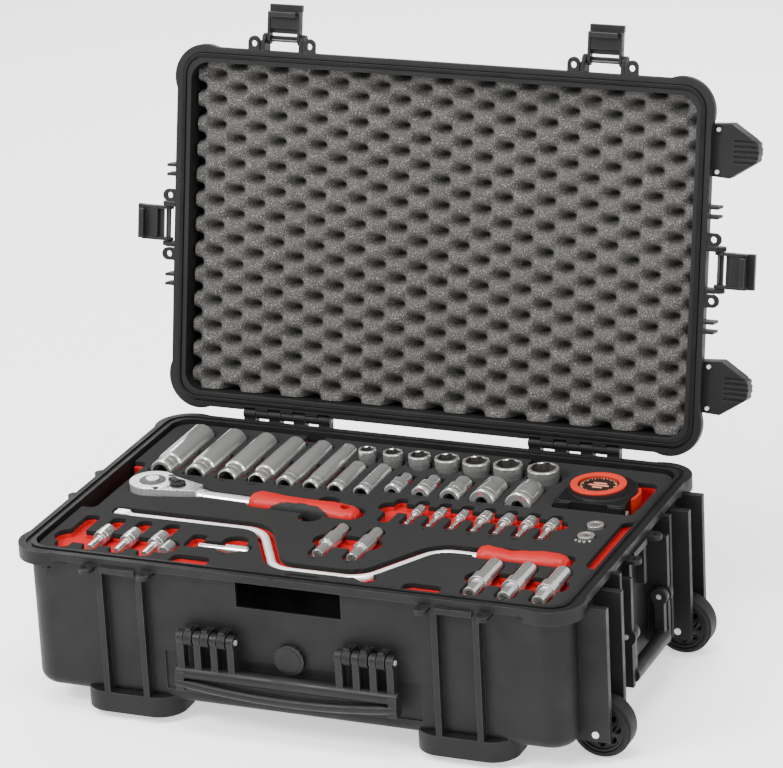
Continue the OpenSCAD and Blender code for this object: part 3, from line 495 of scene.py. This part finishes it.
def turned(stations, closed=True):
    """Points and faces of a part turned about +Z. A station is (z, radius, shape).

    The last station joins the first when closed, and otherwise both ends are capped.
    """
    points, faces = [], []
    for row, (z, radius, shape) in enumerate(stations):
        for k in range(ROUND_N):
            r, a = spoke(shape, radius, k, row), TAU * k / ROUND_N
            points.append((r * math.cos(a), r * math.sin(a), z))
    count = len(stations)
    for row in range(count if closed else count - 1):
        here, there = row * ROUND_N, (row + 1) % count * ROUND_N
        for k in range(ROUND_N):
            n = (k + 1) % ROUND_N
            faces.append((here + k, here + n, there + n, there + k))
    if not closed:
        for row in (0, count - 1):
            ring = [row * ROUND_N + k for k in range(ROUND_N)]
            faces.append(ring if row else ring[::-1])
    return points, faces


def fix_normals(mesh):
    bm = bmesh.new()
    bm.from_mesh(mesh)
    bmesh.ops.recalc_face_normals(bm, faces=bm.faces)
    bm.to_mesh(mesh)
    bm.free()


BORE_CHAMFER = 0.6 * MM
DRIVE_DEEP = 12 * MM


def bored(outer, length, hexagon, depth, square, mouth):
    """Closes an outer profile through the wrenching bore, the drive square and its round mouth."""
    throat = min(square, hexagon) * 0.8
    return outer + [
        (length, hexagon + 1.2 * BORE_CHAMFER, "round"),
        (length - BORE_CHAMFER, hexagon + 0.1 * BORE_CHAMFER, "hex"),
        (length - depth, hexagon, "hex"),
        (length - depth - 1.5 * MM, throat, "round"),
        (DRIVE_DEEP, throat, "round"),
        (DRIVE_DEEP - 0.1 * BORE_CHAMFER, square, "square"),
        (2.2 * MM, square, "square"),
        (2 * MM, mouth, "round"),
        (0, mouth + 0.3 * MM, "round")]


def knurl_band(z0, z1, radius):
    """Stations of a knurled band between two grooves."""
    groove = 0.5 * MM
    rows = max(3, round((z1 - z0) / (1.1 * MM)))
    band = [(z0 - groove, radius, "round"), (z0 - 0.3 * MM, radius - groove, "round")]
    band += [(z0 + (z1 - z0) * i / rows, radius, "knurl") for i in range(rows + 1)]
    return band + [(z1 + 0.3 * MM, radius - groove, "round"), (z1 + groove, radius, "round")]


SOCKET_WALL = 2.4 * MM
SOCKET_CHAMFER = 0.7 * MM
HEX_DEEP_SHARE = 0.55


def add_socket(name, box, laid, node, looks, drive_r, drive_l, wrench_r, square, knurl):
    """A socket in its CAD box.

    The drive end is at the front, or below when it stands. wrench_r is the radius of the other end.
    """
    low, high = box
    length = high.y - low.y if laid else high.z - low.z
    hexagon = (wrench_r - SOCKET_WALL) * math.cos(TAU / 12)
    middle = (low + high) / 2
    start = Vector((middle.x, low.y, middle.z)) if laid else Vector((middle.x, middle.y, low.z))
    c = SOCKET_CHAMFER
    outer = [(0, drive_r - c, "round"), (c, drive_r, "round")]
    if knurl:
        outer += [(2.2 * MM, drive_r, "round"), (2.5 * MM, drive_r - 0.5 * MM, "round"),
                  (3.3 * MM, drive_r - 0.5 * MM, "round"), (3.6 * MM, drive_r, "round")]
        outer += knurl_band(knurl[0], knurl[1], drive_r)
    outer += [(drive_l - 1.6 * MM, drive_r, "round")]
    if abs(drive_r - wrench_r) > 0.5 * MM:
        outer += [(drive_l - 0.8 * MM, drive_r * 0.6 + wrench_r * 0.4, "round"),
                  (drive_l, wrench_r - 0.25 * MM * math.copysign(1, wrench_r - drive_r), "round"),
                  (drive_l + c, wrench_r, "round")]
    outer += [(length - 1.4 * MM, wrench_r, "round"),
              (length - 0.4 * MM, wrench_r - 0.5 * MM, "round"),
              (length, wrench_r - 1.3 * MM, "round")]
    mouth = min(drive_r - 1.6 * MM, square * 0.75)
    stations = bored(outer, length, hexagon, length * HEX_DEEP_SHARE, square / 2, mouth)
    place = Matrix.Translation(start) @ (ALONG_Y if laid else UPRIGHT)
    mesh = mesh_of(name, *turned(stations), matrix=place)
    fix_normals(mesh)
    # the bore faces get the dark steel, painted shade inside the socket
    finishes = [looks["chrome" if laid else "upright"], looks["bore"]]
    piece = add_piece(name, mesh, finishes, body_of(node), 26)
    for face in mesh.polygons:
        row = face.index // ROUND_N
        face.material_index = int(len(outer) < row < len(stations) - 1)
    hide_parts(node)


# ---------- foam ----------

def closed_box(node):
    """Box of a lid node with the lid shut."""
    back = LID.inverted()
    points = [back @ v.co for v in nodes[node].data.vertices]
    return Vector(map(min, *points)), Vector(map(max, *points))


EGG_PITCH = 26 * MM
EGG_PERIOD = 30 * MM
EGG_DEEP = 30 * MM
EGG_FLOOR = 1.2 * MM
EGG_POWER = 2.5
EGG_UNEVEN = 0.6 * MM
EGG_STEP = 2.6 * MM
EGG_SIDE_SAG = 3 * MM


def add_egg_foam(looks):
    """Convoluted lid foam: staggered knobs with deep holes between them."""
    low, high = closed_box("lid_foam")
    pitch, period, step = EGG_PITCH, EGG_PERIOD, EGG_STEP
    nx, ny = round((high.x - low.x) / step), round((high.y - low.y) / step)
    rng = random.Random(7)
    phase = [rng.uniform(0, TAU), rng.uniform(0, TAU)]

    def height(x, y):
        wave = math.cos(math.pi * x / pitch) * math.cos(TAU * y / period)
        hollow = ((1 - wave) / 2) ** EGG_POWER
        uneven = EGG_UNEVEN * (math.sin(x * 37 + phase[0]) + math.sin(y * 41 + x * 23 + phase[1]))
        return low.z + EGG_FLOOR + EGG_DEEP * hollow + uneven

    points, faces = [], []
    for j in range(ny + 1):
        for i in range(nx + 1):
            x = low.x + (high.x - low.x) * i / nx
            y = low.y + (high.y - low.y) * j / ny
            # the sides of the sheet sag inwards a little where the knobs are cut
            z = height(x, y)
            if i in (0, nx):
                x -= math.copysign(EGG_SIDE_SAG * (0.5 + 0.5 * math.cos(TAU * y / period)), x)
            points.append((x, y, z))
    rim = {}
    for j in range(ny + 1):
        for i in range(nx + 1):
            if i in (0, nx) or j in (0, ny):
                x = low.x + (high.x - low.x) * i / nx
                y = low.y + (high.y - low.y) * j / ny
                rim[i, j] = len(points)
                points.append((x, y, high.z))

    def at(i, j):
        return j * (nx + 1) + i

    for j in range(ny):
        for i in range(nx):
            faces.append((at(i, j), at(i, j + 1), at(i + 1, j + 1), at(i + 1, j)))
    for i in range(nx):
        faces.append((at(i, 0), at(i + 1, 0), rim[i + 1, 0], rim[i, 0]))
        faces.append((at(i + 1, ny), at(i, ny), rim[i, ny], rim[i + 1, ny]))
    for j in range(ny):
        faces.append((at(0, j + 1), at(0, j), rim[0, j], rim[0, j + 1]))
        faces.append((at(nx, j), at(nx, j + 1), rim[nx, j + 1], rim[nx, j]))
    loop = [rim[i, 0] for i in range(nx + 1)] + [rim[nx, j] for j in range(1, ny + 1)]
    loop += [rim[i, ny] for i in range(nx - 1, -1, -1)] + [rim[0, j] for j in range(ny - 1, 0, -1)]
    faces.append(tuple(loop))
    mesh = mesh_of("lid_egg_foam", points, faces, LID)
    fix_normals(mesh)
    piece = add_piece("lid_egg_foam", mesh, [looks["egg"]], "lid", 70)
    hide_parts("lid_foam")


def add_cut_foam(looks):
    """The tray's two layers and the spacer, with the rounded rims of cut foam."""
    for node, look, slot in (("foam_tray", "tray", "grey_foam"), ("tray_backing", "red", "red_foam"),
                             ("spacer_foam", "tray", "grey_foam")):
        piece = soften(node, looks[look], 0.7 * MM, angle=45)


# ---------- hard parts ----------

def add_box_parts(looks):
    soften("base_shell", looks["shell"], 0.9 * MM)
    soften("lid_shell", looks["shell"], 0.9 * MM)
    soften("lid_bumpers", looks["shell"], 0.7 * MM)
    soften("lid_gasket", looks["seal"], 0.9 * MM)
    soften("foot_pads", looks["pad"], 0.8 * MM)
    for node in ("front_handle", "side_handle", "pull_grip"):
        soften(node, looks["handle"], 1.0 * MM)
    soften("valve_knob", looks["handle"], 0.4 * MM)
    for i in (1, 2):
        soften(f"wheel_hub_{i}", looks["handle"], 0.5 * MM)
        soften(f"wheel_tyre_{i}", looks["tyre"], 1.0 * MM)
    for i in range(1, 5):
        soften(f"latch_lever_{i}", looks["latch"], 0.5 * MM)
        soften(f"latch_hook_{i}", looks["latch"], 0.5 * MM)
    paint("label_panel", looks["label"])
    for node in ("wheel_axles", "handle_pins", "lid_screws", "pull_tubes"):
        paint(node, looks["pin"])
    for node in ("hinge_pins", "latch_pins"):
        paint(node, looks["dark"])


def swept(points, radius, count=24):
    """Round bar through the points, capped at both ends."""
    verts, faces = [], []
    for i, point in enumerate(points):
        along = points[min(i + 1, len(points) - 1)] - points[max(i - 1, 0)]
        side = along.cross(Vector((0, 0, 1))).normalized()
        up = side.cross(along).normalized()
        for k in range(count):
            a = TAU * k / count
            verts.append(point + radius * (math.cos(a) * side + math.sin(a) * up))
    for i in range(len(points) - 1):
        for k in range(count):
            n = (k + 1) % count
            faces.append((i * count + k, i * count + n, (i + 1) * count + n, (i + 1) * count + k))
    faces.append(tuple(range(count)))
    faces.append(tuple((len(points) - 1) * count + k for k in range(count))[::-1])
    return verts, faces


# Corners of the brace bar seen from above, in mm
BRACE_ROUTE = ((-252, -72), (-85, -72), (-32, -166), (72, -166), (125, -72), (258, -72))
BRACE_BEND = 36 * MM


def bent_route(corners, bend, z, step=math.radians(3)):
    """Points of a route whose corners are rounded by the bend radius."""
    points = [Vector((corners[0][0] * MM, corners[0][1] * MM, z))]
    for before, corner, after in zip(corners, corners[1:], corners[2:]):
        here = Vector((corner[0] * MM, corner[1] * MM, z))
        come = (here - Vector((before[0] * MM, before[1] * MM, z))).normalized()
        leave = (Vector((after[0] * MM, after[1] * MM, z)) - here).normalized()
        turn = come.angle(leave)
        side = math.copysign(1, come.x * leave.y - come.y * leave.x)
        start = here - come * bend * math.tan(turn / 2)
        middle = start + side * bend * Vector((-come.y, come.x, 0))
        count = max(2, round(turn / step))
        for i in range(count + 1):
            arm = Matrix.Rotation(side * turn * i / count, 3, "Z") @ (start - middle)
            points.append(middle + arm)
    points.append(Vector((corners[-1][0] * MM, corners[-1][1] * MM, z)))
    return points


BRACE_R = 5 * MM
BRACE_SQUARE = 6.3 * MM


def add_brace(looks):
    """Bent bar with a square driving end."""
    low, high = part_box("brace_bar")
    z = (low.z + high.z) / 2
    verts, faces = swept(bent_route(BRACE_ROUTE, BRACE_BEND, z), BRACE_R)
    # the driving end is forged square and slightly tapered
    y = BRACE_ROUTE[0][1] * MM
    base = len(verts)
    for past, size in ((0, BRACE_SQUARE - 0.6 * MM), (0.8 * MM, BRACE_SQUARE), (14 * MM, BRACE_SQUARE),
                       (19 * MM, BRACE_R * 0.8)):
        for side, rise in ((-1, -1), (1, -1), (1, 1), (-1, 1)):
            verts.append(Vector((low.x + past, y + side * size, z + rise * size)))
    for i in range(3):
        row = base + 4 * i
        for k in range(4):
            n = (k + 1) % 4
            faces.append((row + k, row + n, row + 4 + n, row + 4 + k))
    faces += [(base, base + 3, base + 2, base + 1), (base + 12, base + 13, base + 14, base + 15)]
    mesh = mesh_of("brace_bent_bar", verts, faces)
    fix_normals(mesh)
    piece = add_piece("brace_bent_bar", mesh, [looks["bar"]], "brace", 35)
    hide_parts("brace_bar")


# Share of the length, then half width and half height of the grip as shares of its largest radius
RATCHET_GRIP = ((0, 0.70, 0.66), (0.015, 0.86, 0.80), (0.07, 1.0, 0.94), (0.14, 0.97, 0.92),
                (0.3, 0.86, 0.84), (0.5, 0.83, 0.82), (0.7, 0.89, 0.84), (0.82, 0.95, 0.80),
                (0.9, 0.96, 0.72), (0.96, 0.78, 0.60), (0.99, 0.48, 0.4), (1, 0.2, 0.16))
BRACE_GRIP = ((0, 0.62, 0.62), (0.02, 0.82, 0.82), (0.08, 0.94, 0.94), (0.2, 0.84, 0.84),
              (0.34, 0.74, 0.74), (0.5, 0.84, 0.84), (0.7, 0.95, 0.95), (0.85, 0.93, 0.93),
              (0.93, 0.82, 0.82), (0.975, 0.6, 0.6), (1, 0.25, 0.25))
# A section between an ellipse (2) and a rectangle
GRIP_SQUARENESS = 2.6


def grip_mesh(name, profile, length, radius, rows=70, count=64):
    """Hand grip along +X with a softly squared section."""
    power = GRIP_SQUARENESS

    def at(t, column):
        for a, b in zip(profile, profile[1:]):
            if t <= b[0]:
                f = (t - a[0]) / (b[0] - a[0])
                f = f * f * (3 - 2 * f)
                return a[column] + (b[column] - a[column]) * f
        return profile[-1][column]

    verts, faces = [], []
    for i in range(rows + 1):
        # rows are closer together at both ends
        t = 0.5 - 0.5 * math.cos(math.pi * i / rows)
        wide, tall = at(t, 1) * radius, at(t, 2) * radius
        for k in range(count):
            a = TAU * k / count
            c, s = math.cos(a), math.sin(a)
            squared = (abs(c) ** power + abs(s) ** power) ** (-1 / power)
            verts.append((t * length, wide * c * squared, tall * s * squared))
    for i in range(rows):
        for k in range(count):
            n = (k + 1) % count
            faces.append((i * count + k, i * count + n, (i + 1) * count + n, (i + 1) * count + k))
    faces.append(tuple(range(count)))
    faces.append(tuple(rows * count + k for k in range(count))[::-1])
    mesh = mesh_of(name, verts, faces)
    fix_normals(mesh)
    return mesh


RATCHET_TURN = math.radians(-3)
RATCHET_GRIP_START = 128 * MM
RATCHET_GRIP_LENGTH = 134 * MM
RATCHET_GRIP_R = 15.9 * MM
HANG_HOLE_R = 5.5 * MM
HANG_HOLE_FROM_END = 17 * MM
HANG_HOLE_CUT = 60 * MM
# Middle and half length of the black insert, as shares of the grip's length
INSERT_MIDDLE = 0.49
INSERT_HALF = 0.30


def add_grips(looks):
    """Two-colour ratchet grip with a hanging hole, and the waisted brace grip."""
    origin = Vector(joints["ratchet_drive_turn"]["pos_m"])
    place = Matrix.Translation(origin) @ Matrix.Rotation(RATCHET_TURN, 4, "Z")
    length, radius = RATCHET_GRIP_LENGTH, RATCHET_GRIP_R
    mesh = grip_mesh("ratchet_soft_grip", RATCHET_GRIP, length, radius)
    finishes = [looks["grip_red"], looks["grip_black"]]
    piece = add_piece("ratchet_soft_grip", mesh, finishes, "ratchet", 50)
    # black insert along the front and lower side, with rounded ends
    for face in mesh.polygons:
        t = face.center.x / length
        reach = max(0.0, 1 - abs((t - INSERT_MIDDLE) / INSERT_HALF) ** 5)
        edge = (-0.75 + 0.45 * reach) * radius
        if reach > 0 and face.center.y < edge and face.center.z < 0.75 * radius * reach:
            face.material_index = 1
    bpy.ops.mesh.primitive_cylinder_add(vertices=48, radius=HANG_HOLE_R, depth=HANG_HOLE_CUT,
                                        location=(length - HANG_HOLE_FROM_END, 0, 0))
    hole = bpy.context.object
    cut = piece.modifiers.new("hole", "BOOLEAN")
    cut.operation = "DIFFERENCE"
    cut.object = hole
    applied(piece)
    bpy.data.objects.remove(hole, do_unlink=True)
    piece.data.transform(place @ Matrix.Translation((RATCHET_GRIP_START, 0, 0)))
    shade(piece.data, 50)
    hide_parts("ratchet_grip")
    low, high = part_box("brace_grip")
    mesh = grip_mesh("brace_soft_grip", BRACE_GRIP, high.x - low.x, (high.z - low.z) / 2)
    mesh.transform(Matrix.Translation((low.x, (low.y + high.y) / 2, (low.z + high.z) / 2)))
    piece = add_piece("brace_soft_grip", mesh, [looks["grip_red"]], "brace_grip", 50)
    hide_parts("brace_grip")


DIAL_R = 23 * MM
TICK_COUNT = 36
# Corners of a block with a slightly smaller top, as shares of its half size, and its faces
BLOCK_CORNERS = ((-1, -1, -1), (1, -1, -1), (1, 1, -1), (-1, 1, -1),
                 (-0.8, -0.8, 1), (0.8, -0.8, 1), (0.8, 0.8, 1), (-0.8, 0.8, 1))
BLOCK_FACES = ((3, 2, 1, 0), (4, 5, 6, 7), (0, 1, 5, 4), (1, 2, 6, 5), (2, 3, 7, 6), (3, 0, 4, 7))


def add_tape(looks):
    """Tape measure: case, ring, lock and blade hook, with a dial of plain ticks and bars."""
    soften("tape_case", looks["black"], 1.2 * MM)
    soften("tape_ring", looks["ring_red"], 0.8 * MM)
    soften("tape_lock", looks["ring_red"], 0.8 * MM)
    paint("tape_hook", looks["blade"])
    low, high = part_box("tape_ring")
    middle = Vector(((low.x + high.x) / 2, (low.y + high.y) / 2, low.z))
    # dished dial inside the ring, with ticks and three bars in place of lettering
    dished = ((-0.4 * MM, DIAL_R), (0.8 * MM, DIAL_R), (1.1 * MM, DIAL_R - 0.6 * MM), (0.9 * MM, 16 * MM),
              (0.6 * MM, 8 * MM), (0.9 * MM, 5 * MM), (0.9 * MM, 0.3 * MM))
    stations = [(z, radius, "round") for z, radius in dished]
    mesh = mesh_of("tape_dial", *turned(stations, closed=False), matrix=Matrix.Translation(middle))
    fix_normals(mesh)
    add_piece("tape_dial", mesh, [looks["dial"]], "tape", 40)
    verts, faces = [], []

    def block(center, size, angle=0.0):
        turn = Matrix.Rotation(angle, 3, "Z")
        base = len(verts)
        for x, y, z in BLOCK_CORNERS:
            corner = Vector((x * size[0], y * size[1], z * size[2])) / 2
            verts.append(middle + turn @ (Vector(center) + corner))
        for quad in BLOCK_FACES:
            faces.append(tuple(base + q for q in quad))

    for k in range(TICK_COUNT):
        long = k % 3 == 0
        block((20.2 * MM - (0.8 * MM if long else 0), 0, 1.3 * MM),
              ((3.6 if long else 2) * MM, 0.8 * MM, 0.5 * MM), TAU * k / TICK_COUNT)
    for row, width in ((6, 16), (0, 24), (-6, 12)):
        block((0, row * MM, 1.1 * MM), (width * MM, 2.6 * MM, 0.5 * MM))
    mesh = mesh_of("tape_ticks", verts, faces)
    fix_normals(mesh)
    add_piece("tape_ticks", mesh, [looks["tick"]], "tape", 30)


# Radii of the short sockets' wrenching ends, in mm
SHORT_NECKS = (6.8, 7.8, 10.4, 14.4, 15.2)
DEEP_DRIVE_L = 25 * MM
MEDIUM_DRIVE_L = 20 * MM
SHORT_DRIVE_L = 28 * MM
UPRIGHT_DRIVE_L = 12 * MM
QUARTER_DRIVE = 6.4 * MM
THREE_EIGHTHS_DRIVE = 9.6 * MM
HALF_INCH_DRIVE = 12.7 * MM
LONG_KNURL = (6 * MM, 14 * MM)
KNURL = (6 * MM, 12 * MM)


def half_width(box):
    return (box[1].x - box[0].x) / 2


def add_sockets(looks):
    """Each socket of the four groups in its own CAD box."""
    for i in range(1, 7):
        node = f"deep_socket_{i}"
        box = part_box(node)
        radius = half_width(box)
        wide = i < 5
        add_socket(f"long_socket_{i}", box, True, node, looks, radius - (1.8 if wide else 0.6) * MM,
                   DEEP_DRIVE_L, radius, HALF_INCH_DRIVE if wide else THREE_EIGHTHS_DRIVE, LONG_KNURL)
    for i, box in enumerate(islands("medium_sockets")):
        radius = half_width(box)
        add_socket(f"medium_socket_{i + 1}", box, True, "medium_sockets", looks, radius,
                   MEDIUM_DRIVE_L, radius, THREE_EIGHTHS_DRIVE, KNURL)
    for i, (box, neck) in enumerate(zip(islands("short_sockets"), SHORT_NECKS)):
        add_socket(f"short_socket_{i + 1}", box, True, "short_sockets", looks, half_width(box),
                   SHORT_DRIVE_L, neck * MM, QUARTER_DRIVE if i < 2 else THREE_EIGHTHS_DRIVE, KNURL)
    for i, box in enumerate(islands("upright_sockets")):
        radius = half_width(box)
        add_socket(f"upright_socket_{i + 1}", box, False, "upright_sockets", looks, radius - 1 * MM,
                   UPRIGHT_DRIVE_L, radius, THREE_EIGHTHS_DRIVE, None)


def add_tools(looks):
    """Ratchet, brace, tape measure, sockets and the small pieces in the racks."""
    soften("ratchet_body", looks["ratchet"], 0.7 * MM)
    for node in ("ratchet_plate", "ratchet_screws", "ratchet_drive"):
        soften(node, looks["dark"], 0.3 * MM)
    soften("ratchet_button", looks["ratchet"], 0.3 * MM)
    soften("ratchet_reverser", looks["black"], 0.6 * MM)
    add_brace(looks)
    add_grips(looks)
    add_tape(looks)
    add_sockets(looks)
    for node in ("left_bit_sockets", "right_bit_sockets", "plug_sockets", "bit_holders", "bit_adapter",
                 "reducers"):
        soften(node, looks["chrome"], 0.4 * MM)


MARK_HEIGHT = 8 * MM
MARK_THICK = 0.08 * MM
MARK_LIFT = 0.02 * MM
# Size numbers in front of the tools: text, and its place seen from above in mm
MARKS = (("32", -268, 40), ("30", -228, 40), ("27", -187, 40), ("24", -149, 40), ("22", -113, 40),
         ("21", -79, 40), ("19", -50, 41), ("18", -18, 41), ("8", 15, 54), ("10", 49, 54),
         ("13", 85, 54), ("17", 124, 54), ("19", 167, 54), ("T50", -253, -189), ("T55", -220, -189),
         ("T60", -184, -189), ("1/2", -100, -155), ("14", 0, -139), ("16", 42, -139),
         ("3/8", 200, -190), ("1/2", 240, -190), ("1/4", 279, -190))
# The right rack is numbered from 4 up
RACK_MARKS = tuple((str(4 + k), 37 + 26.5 * k, -29) for k in range(8))


def add_marks(looks):
    """Small size numbers printed on the foam in front of the tools, plain and generic."""
    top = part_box("foam_tray")[1].z
    for i, (text, x, y) in enumerate(MARKS + RACK_MARKS):
        curve = bpy.data.curves.new("mark", "FONT")
        curve.body = text
        curve.size = MARK_HEIGHT
        curve.extrude = MARK_THICK
        curve.align_x = "CENTER"
        curve.align_y = "CENTER"
        made = bpy.data.objects.new("mark", curve)
        bpy.context.scene.collection.objects.link(made)
        bpy.context.view_layer.update()
        graph = bpy.context.evaluated_depsgraph_get()
        mesh = bpy.data.meshes.new_from_object(made.evaluated_get(graph), depsgraph=graph)
        mesh.name = f"size_mark_{i + 1}"
        bpy.data.objects.remove(made, do_unlink=True)
        bpy.data.curves.remove(curve)
        mesh.transform(Matrix.Translation((x * MM, y * MM, top + MARK_LIFT)))
        mesh.materials.clear()
        add_piece(f"size_mark_{i + 1}", mesh, [looks["mark"]], "tray", 40)


add_camera()
looks = make_looks()
add_studio()
add_egg_foam(looks)
add_cut_foam(looks)
add_box_parts(looks)
add_tools(looks)
add_marks(looks)
